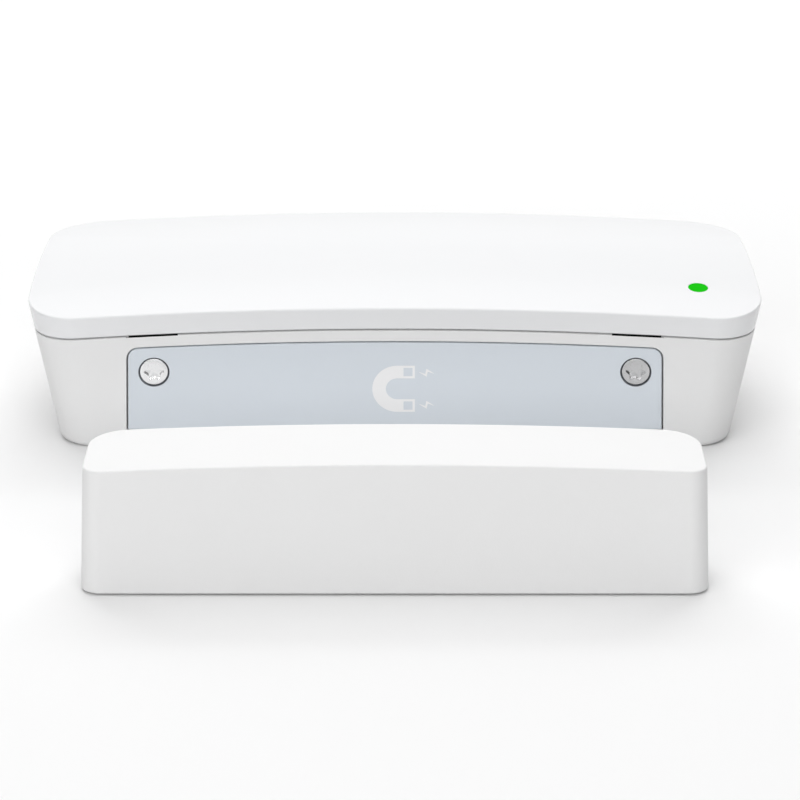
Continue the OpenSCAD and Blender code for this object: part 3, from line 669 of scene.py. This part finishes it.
def slot_block(side):
    """The cutter for one pry slot: its mouth follows the seam and its floor falls away behind the face."""
    far = FRONT_WALL + BEYOND
    profile = ((-BEYOND, 0), (0, 0), (SLOT_DEEP, -SLOT_DEEP), (far, -SLOT_DEEP), (far, BEYOND),
               (-BEYOND, BEYOND))
    half = SLOT_W / 2
    bm = bmesh.new()
    left, right = ([bm.verts.new((x * MM, y * MM, z * MM)) for y, z in profile] for x in (-half, half))
    for i in range(len(profile)):
        j = (i + 1) % len(profile)
        bm.faces.new((left[i], left[j], right[j], right[i]))
    bm.faces.new(left)
    bm.faces.new(right)
    bmesh.ops.recalc_face_normals(bm, faces=bm.faces)
    at = Vector((side * SLOT_X, FRONT_Y, arch_z(SLOT_X, SEAM_Z) - SLOT_H)) * MM
    tilt = Matrix.Rotation(side * math.asin(SLOT_X / ARCH_R), 4, "Y")
    return moved(bm, Matrix.Translation(at) @ tilt)


def in_slot(x, y, z):
    """Whether a point lies inside a pry slot."""
    near = 0.02
    beside = abs(abs(x) - SLOT_X) < SLOT_W / 2 + near
    behind = FRONT_Y + near < y < FRONT_Y + FRONT_WALL + near
    return beside and behind and z > arch_z(SLOT_X, SEAM_Z - SLOT_DEEP - 0.3)


def make_cover():
    """The top cover with its crowned top, its lip and the bosses under it."""
    def rim(x, y):
        return arch_z(x, SEAM_Z + SEAM_GAP)

    def lip_end(x, y):
        return arch_z(x, SEAM_Z - LIP_D)

    def ceiling(x, y):
        return crown_z(x, y, WALL)

    chamfer, corner = 0.2, 0.4
    outer = WALL + PLAY
    front_outer = FRONT_WALL + PLAY
    rings = edge_rings(lambda d: sensor_outlines(d, d), EDGE_R, crown_z, False, 7)
    rings.append(ring_at(sensor_outlines(), lambda x, y: (crown_z(x, y) - EDGE_R + rim(x, y) + RIM_R) / 2))
    for a in quarter(3):
        inset = RIM_R * (1 - math.cos(a))
        rings.append(ring_at(sensor_outlines(inset, inset),
                             lambda x, y, up=RIM_R * (1 - math.sin(a)): rim(x, y) + up))
    rings.append(ring_at(sensor_outlines(outer, front_outer), rim))
    rings.append(ring_at(sensor_outlines(outer, front_outer), lambda x, y: lip_end(x, y) + chamfer))
    rings.append(ring_at(sensor_outlines(outer + chamfer, front_outer + chamfer), lip_end))
    rings.append(ring_at(sensor_outlines(outer + LIP_T, front_outer + LIP_T), lip_end))
    rings.append(ring_at(sensor_outlines(outer + LIP_T, front_outer + LIP_T),
                         lambda x, y: ceiling(x, y) - corner))
    rings.append(ring_at(sensor_outlines(outer + LIP_T + corner, front_outer + LIP_T + corner), ceiling))
    cover = new_object("cover_shell", loft(rings, crown_z, ceiling))
    under = crown_z(LIGHT_X, LIGHT_Y, WALL / 2)
    plunger = node_middle("tamper_plunger")
    plunger_top = box_mm("tamper_plunger")[1].z + 0.02
    boolean(cover, [tube_bm((LIGHT_X, LIGHT_Y, COLLAR_Z[1]), (LIGHT_X, LIGHT_Y, under), LIGHT_BOSS_R),
                    tube_bm((plunger.x, plunger.y, plunger_top), (plunger.x, plunger.y, 22), PUSHER_R)],
            "UNION")
    boolean(cover, [tube_bm((LIGHT_X, LIGHT_Y, 10), (LIGHT_X, LIGHT_Y, 30), LIGHT_R + 0.02, segments=64)],
            "DIFFERENCE")
    return finish_piece(cover, "cover", "cover_white", WHITE_SATIN, "top_cover")


def make_lens():
    """The light pipe: its dished round face shows on the cover, its collar sits under the boss."""
    top = crown_z(LIGHT_X, LIGHT_Y)
    r = LIGHT_R
    collar_low, collar_high = COLLAR_Z
    profile = [(0, top - 0.05), (r * 0.5, top - 0.05), (r * 0.8, top - 0.03), (r - 0.12, top - 0.01)]
    profile += [(r - 0.05, top - 0.03), (r, top - 0.08), (r, collar_high), (COLLAR_R, collar_high)]
    profile += [(COLLAR_R, collar_low + 0.1), (COLLAR_R - 0.1, collar_low), (r, collar_low)]
    profile += [(r, pipe_low.z + 0.1), (r - 0.1, pipe_low.z), (0, pipe_low.z)]
    bm = lathe(profile, 64)
    for v in bm.verts:
        x, y = v.co.x / MM, v.co.y / MM
        if v.co.z > (top - 1) * MM:
            v.co.z += (crown_z(LIGHT_X + x, LIGHT_Y + y) - top) * MM
    lens = new_object("status_lens", moved(bm, Matrix.Translation((LIGHT_X * MM, LIGHT_Y * MM, 0))))
    return finish_piece(lens, "cover", "light_green", LENS_GREEN, "light_pipe")


def make_plate():
    """The blue-grey front plate with its screw recesses and the inlay of the magnet sign."""
    plate = new_object("front_panel", plate_block(0, plate_low.y, plate_high.y))
    sign = bmesh.new()
    sign.from_mesh(frame["nodes"]["magnet_symbol"].data)
    bmesh.ops.remove_doubles(sign, verts=sign.verts, dist=WELD)
    mid = node_middle("magnet_symbol").y * MM
    reach = 0.5
    for v in sign.verts:
        if v.co.y < mid:
            v.co.y -= reach * MM
    cuts = [sign]
    for side in (-1, 1):
        x = side * SCREW_X
        mouth = (x, FRONT_Y - BEYOND, SCREW_Z)
        cuts.append(tube_bm(mouth, (x, FRONT_Y + SINK_D, SCREW_Z), SINK_R, segments=64))
        cuts.append(tube_bm(mouth, (x, FRONT_Y + 4, SCREW_Z), PLATE_BORE, segments=32))
    bevelled(plate, 0.15, 3, 40)
    boolean(plate, cuts, "DIFFERENCE")
    finish_piece(plate, "sensor", "plate_blue_grey", PLATE_BLUE, "front_plate")
    # Painted shade: the recess walls round each screw head are painted dark, standing in for the shadow in
    # the gap
    paint(plate, SINK_SHADE, lambda x, y, z: y > FRONT_Y + 0.05
          and math.hypot(abs(x) - SCREW_X, z - SCREW_Z) < SINK_R + 0.03)
    return plate


def recess_bm(reach, depth, steps=96):
    """The cutter for a six-lobe recess: smooth lobes, slightly drafted walls and a coned floor."""
    lobe, ripple = 0.135, 0.02
    bm = bmesh.new()
    rows = []
    for z, share in ((0.5, 1.06), (0.0, 1.02), (-0.08, 1.0), (-depth, 0.94), (-depth - 0.12, 0.3)):
        ring = []
        for i in range(steps):
            a = 2 * math.pi * i / steps
            r = reach * share * (1 - lobe + lobe * math.cos(6 * a) + ripple * math.cos(12 * a))
            ring.append(bm.verts.new((r * math.cos(a) * MM, r * math.sin(a) * MM, z * MM)))
        rows.append(ring)
    for low, high in zip(rows, rows[1:]):
        for i in range(steps):
            j = (i + 1) % steps
            bm.faces.new((low[i], low[j], high[j], high[i]))
    bm.faces.new(rows[0])
    bm.faces.new(rows[-1])
    bmesh.ops.recalc_face_normals(bm, faces=bm.faces)
    return bm


def lobe_screw(head_r, head_h, shank_r, length, lobe_r):
    """A screw with a flat six-lobe head along -Z, its head's face at the origin."""
    edge = 0.12
    profile = [(0, 0), (head_r - 0.5, 0), (head_r - edge, -0.03)]
    profile += arc(edge, head_r - edge, -0.03 - edge, 60, 0, 3)
    profile += [(head_r, -head_h), (shank_r, -head_h)]
    pitch = 0.9
    z = -head_h - 0.3
    while z > -head_h - length + 1:
        profile += [(shank_r * 0.82, z), (shank_r, z - pitch * 0.4), (shank_r * 0.82, z - pitch * 0.8)]
        z -= pitch
    profile += [(shank_r * 0.75, -head_h - length + 0.9), (0.2, -head_h - length), (0, -head_h - length)]
    screw = new_object("screw", lathe(profile, 64))
    boolean(screw, [recess_bm(lobe_r, head_h * 0.7)], "DIFFERENCE")
    bm = bmesh.new()
    bm.from_mesh(screw.data)
    bpy.data.objects.remove(screw)
    return bm


def make_plate_screws():
    """The two plate screws, facing forwards; the right head is painted darker than the left as a painted
    darker reflection, and the walls of both recesses carry painted shade.
    """
    low, high = box_mm("plate_screws")
    forward = Matrix.Rotation(math.pi / 2, 4, "X")
    parts = []
    for side, turn in ((-1, 3), (1, -4)):
        place = Matrix.Translation((side * SCREW_X * MM, low.y * MM, SCREW_Z * MM)) @ forward
        screw = lobe_screw(HEAD_R - 0.03, HEAD_H, 1.3, high.y - low.y - HEAD_H, LOBE_R)
        parts.append(moved(screw, place @ Matrix.Rotation(math.radians(turn), 4, "Z")))
    screws = new_object("panel_screws", joined(parts))
    finish_piece(screws, "sensor", "screw_nickel", NICKEL, "plate_screws")

    def in_recess(x, y, z):
        depth = y - low.y
        return 0.2 < depth < 0.7 and math.hypot(abs(x) - SCREW_X, z - SCREW_Z) < 1.1 * LOBE_R

    def in_recess_foot(x, y, z):
        return in_recess(x, y, z) and z < SCREW_Z - 0.8

    # Painted darker reflection: the right head gets the darker nickel, except the foot of its recess
    paint(screws, NICKEL_PAINTED_DARK_REFLECTION, lambda x, y, z: x > 0 and not in_recess_foot(x, y, z))
    # Painted shade: the recess walls get darker metal; the foot of each recess keeps its bright nickel
    paint(screws, RECESS_PAINTED_SHADE, lambda x, y, z: in_recess(x, y, z) and not in_recess_foot(x, y, z))
    return screws


# ----------------------------------------
# What shows on the circuit board once the cover is off
# ----------------------------------------
PIN_PITCH = 0.65          # between the controller's pins


def on_board(bm, x, y):
    """The mesh moved from the origin to a place on the board's top."""
    return moved(bm, Matrix.Translation((x * MM, y * MM, BOARD_TOP * MM)))


def wedge_bm(low, high, toward):
    """A solder fillet in a box: full height at the side it leans on, toward -1 or +1 along X."""
    bm = box_bm(low, high)
    mid = (low[0] + high[0]) / 2
    thin = 0.06
    for v in bm.verts:
        if v.co.z / MM > low[2] + 0.01 and (v.co.x / MM - mid) * toward < 0:
            v.co.z = (low[2] + thin) * MM
    return bm


def make_capacitors():
    """The chip capacitors with their tinned ends and solder fillets."""
    end, fillet, fillet_h = 0.32, 0.26, 0.45
    bodies, ends = [], []
    for low, high in islands("chip_capacitors"):
        bodies.append(box_bm(low + Vector((0.02, 0.03, 0)), high - Vector((0.02, 0.03, 0.03))))
        ends.append(box_bm(low, (low.x + end, high.y, high.z)))
        ends.append(box_bm((high.x - end, low.y, low.z), high))
        ends.append(wedge_bm((low.x - fillet, low.y, low.z), (low.x + 0.02, high.y, low.z + fillet_h), 1))
        ends.append(wedge_bm((high.x - 0.02, low.y, low.z), (high.x + fillet, high.y, low.z + fillet_h), -1))
    caps = bevelled(new_object("capacitor_bodies", joined(bodies)), 0.04)
    finish_piece(caps, "sensor", "capacitor_tan", CERAMIC_TAN, "chip_capacitors")
    tinned = bevelled(new_object("capacitor_ends", joined(ends)), 0.03)
    return finish_piece(tinned, "sensor", "can_steel", TIN)


def make_chip():
    """The controller: a moulded square package with a dimple at pin 1, and seven bent pins on each side."""
    mid = node_middle("controller_chip")
    low, high = box_mm("controller_chip")
    half, count = (high.x - low.x) / 2 - 0.7, 7
    body = new_object("chip_package", box_bm((mid.x - half, mid.y - half, low.z + 0.1),
                                             (mid.x + half, mid.y + half, high.z)))
    bevelled(body, 0.09)
    corner = Vector((mid.x - half + 0.75, mid.y + half - 0.75, high.z))
    dimple = tube_bm(corner - Vector((0, 0, 0.06)), corner + Vector((0, 0, 1)), 0.3, segments=32)
    boolean(body, [dimple], "DIFFERENCE")
    finish_piece(body, "sensor", "chip_black", EPOXY, "controller_chip")
    shoulder, shank, toe = (-0.1, 0.25, 0.3, 0.42), (0.15, 0.27, 0, 0.42), (0.15, 0.7, 0, 0.12)
    pin_half = 0.14
    pins = []
    for side in range(4):
        turn = Matrix.Translation((mid.x * MM, mid.y * MM, 0)) @ Matrix.Rotation(side * math.pi / 2, 4, "Z")
        for i in range(count):
            x = (i - (count - 1) / 2) * PIN_PITCH
            for near, far, z_low, z_high in (shoulder, shank, toe):
                pin = box_bm((x - pin_half, half + near, low.z + z_low),
                             (x + pin_half, half + far, low.z + z_high))
                pins.append(moved(pin, turn))
    return finish_piece(new_object("chip_pins", joined(pins)), "sensor", "can_steel", TIN)


def make_switch_metal():
    """The pressed top plates and the legs of the two push switches."""
    hole_r, leg_x, leg_half, leg_h, foot_l = 1.85, 2.25, 0.35, 1.5, 0.9
    plates, holes, legs = [], [], []
    for node in ("pair_button_body", "tamper_body"):
        low, high = box_mm(node)
        mid = (low + high) / 2
        plates.append(box_bm((low.x + 0.1, low.y + 0.1, high.z - 0.02),
                             (high.x - 0.1, high.y - 0.1, high.z + 0.13)))
        holes.append(tube_bm((mid.x, mid.y, high.z - 1), (mid.x, mid.y, high.z + 1), hole_r))
        for side in (-1, 1):
            for x in (mid.x - leg_x, mid.x + leg_x):
                y = mid.y + side * (high.y - mid.y)
                wall = sorted((y - side * 0.02, y + side * 0.2))
                foot = sorted((y, y + side * foot_l))
                legs.append(box_bm((x - leg_half, wall[0], low.z), (x + leg_half, wall[1], low.z + leg_h)))
                legs.append(box_bm((x - leg_half, foot[0], low.z), (x + leg_half, foot[1], low.z + 0.18)))
    metal = boolean(new_object("switch_metal", joined(plates)), holes, "DIFFERENCE")
    boolean(metal, legs, "UNION")
    return finish_piece(bevelled(metal, 0.03), "sensor", "can_steel", TIN)


def make_solder():
    """Solder cones round the leads that go through the board, and fillets along the radio's can."""
    fixed_low = box_mm("reed_lead_fixed")[0]
    free_high = box_mm("reed_lead_free")[1]
    coil_low = box_mm("antenna")[0]
    reed_y = node_middle("reed_blade").y
    wire = 0.25
    leads = [(fixed_low.x + wire, reed_y), (free_high.x - wire, reed_y)]
    leads.append((coil_low.x + wire, coil_low.y + wire))
    cone = [(0, -0.02), (0.8, -0.02), (0.78, 0.04), (0.5, 0.16), (0.36, 0.34), (0.27, 0.6), (0, 0.6)]
    parts = [on_board(lathe(cone, 32), x, y) for x, y in leads]
    low, high = box_mm("radio_shield")
    half, from_end = 0.7, 1.4
    for x, side in ((low.x, 1), (high.x, -1)):
        near, far = sorted((x - side * 0.5, x + side * 0.02))
        for y in (low.y + from_end, (low.y + high.y) / 2, high.y - from_end):
            parts.append(wedge_bm((near, y - half, BOARD_TOP - 0.01), (far, y + half, BOARD_TOP + 0.5), side))
    return finish_piece(new_object("solder", joined(parts)), "sensor", "can_steel", TIN)


def trace_bm(points, width):
    """A copper track under the solder mask, as flat bars between points on the board."""
    half, sunk, rise = width / 2, 0.01, 0.035
    parts = []
    for start, end in zip(points, points[1:]):
        start, end = Vector(start), Vector(end)
        run = end - start
        bar = box_bm((-half, -half, -sunk), (run.length + half, half, rise))
        moved(bar, Matrix.Rotation(math.atan2(run.y, run.x), 4, "Z"))
        parts.append(on_board(bar, start.x, start.y))
    return joined(parts)


def make_traces():
    """The tracks on the board: a bus from the chip to the radio, and short runs to the parts near it."""
    chip_low, chip_high = box_mm("controller_chip")
    chip = (chip_low + chip_high) / 2
    can_low = box_mm("radio_shield")[0]
    crystal = node_middle("crystal")
    pair = node_middle("pair_button_body")
    bus_step, thin, middling, broad = 0.45, 0.2, 0.25, 0.3
    tracks = []
    for i in range(-1, 3):
        y, out_y = chip.y + i * PIN_PITCH, chip.y - 3.6 + i * bus_step
        bend = chip_high.x + 1.2
        tracks.append(trace_bm(((chip_high.x - 0.2, y), (bend, y), (bend + abs(y - out_y), out_y),
                                (can_low.x, out_y)), thin))
    for i in (-1, 0):
        y, end_y = chip.y + i * PIN_PITCH, crystal.y + (i + 0.5) * 1.4
        bend = chip_low.x - 1
        tracks.append(trace_bm(((chip_low.x + 0.2, y), (bend, y), (bend - abs(y - end_y), end_y),
                                (crystal.x, end_y)), thin))
    for i in range(-1, 2):
        x = pair.x + i * 1.1
        tracks.append(trace_bm(((x, pair.y - 3.4), (x, 1.6), (x - 1.2, 0.4), (x - 1.2, -2.4)), middling))
    for low, high in islands("chip_capacitors")[:3]:
        y = (low.y + high.y) / 2
        tracks.append(trace_bm(((low.x - 0.3, y), (low.x - 2.2, y), (low.x - 3.4, y + 1.2)), broad))
    return finish_piece(new_object("board_tracks", joined(tracks)), "sensor", "board_green", TRACK_GREEN)


def make_pad_rings():
    """Bare copper rings round the board's screw holes."""
    inner, outer, thick = 1.25, 2.35, 0.04
    profile = [(inner, 0), (outer, 0), (outer, thick), (inner, thick)]
    rings = [on_board(lathe(profile, ring=True), x, y) for x, y in BOARD_SCREWS]
    return finish_piece(new_object("board_rings", joined(rings)), "sensor", "antenna_gold", GOLD)


# ----------------------------------------
# Magnet unit
# ----------------------------------------
def make_magnet_shell():
    """The magnet unit's housing, open underneath, with the pocket that holds the bar."""
    def roof(x, y):
        return arch_z(x, cap_high.z, MAGNET_ARCH_R)

    def ceiling(x, y):
        return arch_z(x, cap_high.z - MAGNET_WALL, MAGNET_ARCH_R)

    corner, inside_roof = 0.4, 20
    rings = edge_rings(magnet_outlines, EDGE_R, roof, False, 7)
    for share in (0.7, 0.3):
        rings.append(ring_at(magnet_outlines(), lambda x, y, s=share: cap_low.z + 1 + (roof(x, y) - 2) * s))
    for a in quarter(3):
        rings.append(ring_at(magnet_outlines(MAGNET_FOOT_R * (1 - math.cos(a))),
                             lambda x, y, up=MAGNET_FOOT_R * (1 - math.sin(a)): cap_low.z + up))
    rings.append(ring_at(magnet_outlines(MAGNET_WALL), lambda x, y: cap_low.z))
    rings.append(ring_at(magnet_outlines(MAGNET_WALL), lambda x, y: ceiling(x, y) - corner))
    rings.append(ring_at(magnet_outlines(MAGNET_WALL + corner), ceiling))
    shell = new_object("magnet_shell", loft(rings, roof, ceiling))
    bar_low, bar_high = box_mm("bar_magnet")
    y_low, y_high = cap_low.y + MAGNET_WALL / 2, cap_high.y - MAGNET_WALL / 2
    rib_x = bar_high.x + 0.2
    holders = [side_box(side, rib_x, rib_x + RIB_T, y_low, y_high, bar_low.z, inside_roof)
               for side in (-1, 1)]
    holders.append(box_bm((bar_low.x - 0.5, y_low, bar_high.z), (bar_high.x + 0.5, y_high, inside_roof)))
    boolean(shell, holders, "UNION")
    return finish_piece(shell, "magnet_cap", "cover_white", MAGNET_WHITE, "magnet_housing")


# ----------------------------------------
# Studio
# ----------------------------------------
FLOOR_HALF = 3.0          # metres
FLOOR_DROP = 0.00002      # metres: how far below the pads the floor lies
WORLD_STRENGTH = 0.04
LIGHTS = (  # name, place, width and height in metres, and power in watts; each faces the origin
    ("top", (0, 0, 0.9), (0.8, 0.6), 3.45),
    ("top_back", (0, 0.45, 0.75), (0.9, 0.4), 2.3),
    ("back_high", (0, 0.65, 0.65), (1.2, 0.35), 2.2),
    ("back", (0, 0.915, 0.403), (1.6, 0.362), 1.95),
    ("horizon", (0, 1.34, 0.163), (2.6, 0.317), 2.35),
    ("front_high", (0, -0.6, 0.75), (1.0, 0.35), 2.05),
    ("front_mid", (0, -0.9, 0.4), (1.2, 0.3), 2.25),
    ("front_narrow", (0, -0.9, 0.4), (0.4, 0.3), 0.4),
    ("front_left", (-0.7, -0.65, 0.4), (0.5, 0.5), 1.5),
)


def make_studio():
    """The pale floor, the soft lights round the object and the faint white surroundings."""
    bm = bmesh.new()
    bmesh.ops.create_grid(bm, x_segments=8, y_segments=8, size=FLOOR_HALF)
    floor = new_object("studio_floor", bm)
    floor.location = (0, 0, -FLOOR_DROP)
    floor.data.materials.append(FLOOR_PALE)
    world = bpy.data.worlds.new("studio")
    world.use_nodes = True
    background = world.node_tree.nodes["Background"]
    background.inputs["Color"].default_value = (1, 1, 1, 1)
    background.inputs["Strength"].default_value = WORLD_STRENGTH
    bpy.context.scene.world = world
    for name, place, size, power in LIGHTS:
        data = bpy.data.lights.new(name, "AREA")
        data.shape, data.energy = "RECTANGLE", power
        data.size, data.size_y = size
        light = bpy.data.objects.new(name, data)
        light.location = place
        light.rotation_euler = (-Vector(place)).to_track_quat("-Z", "Y").to_euler()
        light.visible_camera = False
        bpy.context.scene.collection.objects.link(light)


ELEVATION = 22.5          # degrees above the floor
AZIMUTH = 0.0             # degrees from straight in front
LENS = 1500.0             # millimetres: far away, so nearly parallel
SENSOR = 36.0
FRAME_WIDTH = 120.0       # millimetres across the picture
AIM_SHIFT = (0.77, -0.37)  # millimetres to the right and up in the picture


def make_camera():
    """A long-lens camera in front, looking down, at the middle of the object."""
    low, high = CAD_BOX
    e, a = math.radians(ELEVATION), math.radians(AZIMUTH)
    back = Vector((math.sin(a) * math.cos(e), -math.cos(a) * math.cos(e), math.sin(e)))
    right = Vector((math.cos(a), math.sin(a), 0))
    up = back.cross(right)
    aim = (low + high) / 2 + right * AIM_SHIFT[0] * MM + up * AIM_SHIFT[1] * MM
    distance = FRAME_WIDTH * MM * LENS / SENSOR
    data = bpy.data.cameras.new("camera")
    data.lens, data.sensor_width = LENS, SENSOR
    data.clip_start, data.clip_end = distance * 0.1, distance * 3
    camera = bpy.data.objects.new("camera", data)
    camera.location = aim + back * distance
    camera.rotation_euler = (-back).to_track_quat("-Z", "Y").to_euler()
    bpy.context.scene.collection.objects.link(camera)
    bpy.context.scene.camera = camera


KEPT_NODES = (  # CAD nodes whose own shape shows, by finish
    (SIGN_GREY, ("magnet_symbol",)),
    (MASK_GREEN, ("circuit_board",)),
    (REED_METAL, ("reed_lead_fixed", "reed_lead_free", "reed_blade")),
    (ZINC, ("board_screws",)),
    (GLASS_TINT, ("reed_glass",)),
    (TIN, ("crystal", "radio_shield")),
    (GOLD, ("antenna",)),
    (LED_EPOXY, ("status_led",)),
    (BLACK_PLASTIC, ("pair_button_body", "tamper_body")),
    (BUTTON_WHITE, ("pair_button_cap",)),
    (PLUNGER_RED, ("tamper_plunger",)),
    (CELL_NICKEL, ("battery_cell",)),
    (WRAP_BLUE, ("battery_wrap",)),
    (SPRING_STEEL, ("battery_contact", "battery_spring_plate", "battery_spring")),
    (FOAM_TAPE, ("sensor_pads", "magnet_pads")),
    (WHITE_MATT, ("magnet_base",)),
    (FERRITE, ("bar_magnet",)),
    (FOAM_DARK, ("magnet_foam",)),
)


def keep_node(node, mat):
    """Keeps a CAD node's shape and gives it a better material."""
    obj = frame["nodes"][node]
    obj.data.materials.clear()
    obj.data.materials.append(mat)


def main():
    """Builds every piece, the studio and the camera."""
    bpy.context.scene.view_settings.view_transform = "Standard"
    make_camera()
    make_studio()
    make_housing()
    make_cover()
    make_lens()
    make_plate()
    make_plate_screws()
    make_magnet_shell()
    make_capacitors()
    make_chip()
    make_switch_metal()
    make_solder()
    make_traces()
    make_pad_rings()
    for mat, nodes in KEPT_NODES:
        for node in nodes:
            keep_node(node, mat)


main()
